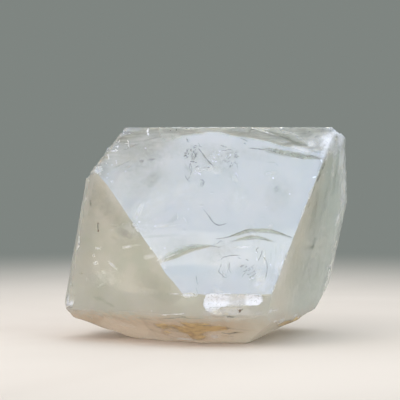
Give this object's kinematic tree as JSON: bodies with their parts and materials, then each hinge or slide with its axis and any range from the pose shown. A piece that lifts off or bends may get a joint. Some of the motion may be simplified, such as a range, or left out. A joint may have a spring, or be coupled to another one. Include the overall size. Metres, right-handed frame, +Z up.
{
  "type": "topaz crystal",
  "caption": "Natural chisel-topped topaz crystal, milky and pale, broken off at the base, for standing on a shelf or in the hand.",
  "frame": {"origin": "on the flat of the broken base, under the middle of the crystal's box", "axes": "+Z up along the crystal's long growth, +X to the right along the crest, -Y towards the large dome face"},
  "size_m": [0.0776, 0.0474, 0.0565],
  "materials": {
    "topaz": "milky and pale, smooth reflecting crystal faces, rough chipped edges and broken base"
  },
  "bodies": {
    "root": {"topaz_crystal": "topaz"}
  },
  "joints": []
}
